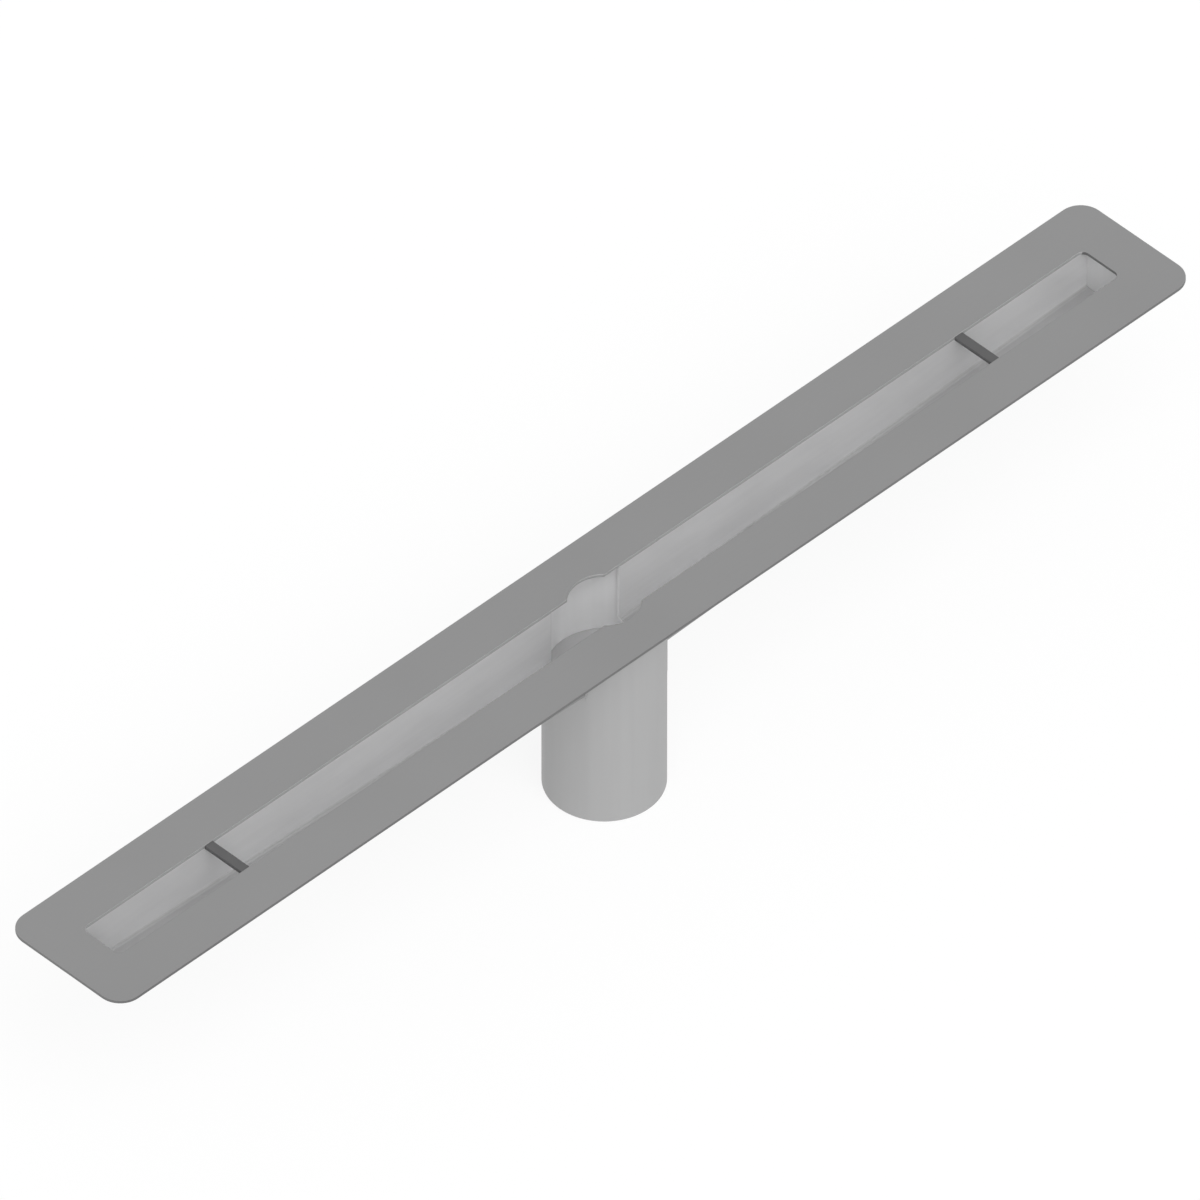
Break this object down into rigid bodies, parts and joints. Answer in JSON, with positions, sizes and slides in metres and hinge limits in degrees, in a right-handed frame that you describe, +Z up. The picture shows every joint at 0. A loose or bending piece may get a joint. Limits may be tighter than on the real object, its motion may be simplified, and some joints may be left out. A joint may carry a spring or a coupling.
{
  "type": "linear shower drain",
  "caption": "Slot-type linear shower drain: flat flange over sloping troughs that fall to a central upright outlet tube with a lift-out water trap.",
  "frame": {"origin": "centre of the outlet tube's open lower end, which is the middle of the bounding box's base", "axes": "+Z up, out of the flange's top face; X along the slot; Y across it"},
  "size_m": [0.6, 0.065, 0.098],
  "materials": {
    "stainless": "brushed",
    "bar_plastic": "matte",
    "trap_plastic": "matte",
    "seal_rubber": "matte"
  },
  "bodies": {
    "root": {"flange_plate": "stainless", "left_trough": "stainless", "right_trough": "stainless", "left_end_plate": "stainless", "right_end_plate": "stainless", "outlet_tube": "stainless", "trap_seat_ring": "stainless", "trap_cup": "stainless", "cup_hanger_1": "stainless", "cup_hanger_2": "stainless", "cup_hanger_3": "stainless", "hair_strainer": "stainless", "strainer_handle": "stainless", "left_cross_bar": "bar_plastic", "right_cross_bar": "bar_plastic", "dip_tube": "trap_plastic", "dip_tube_seal": "seal_rubber"}
  },
  "joints": []
}
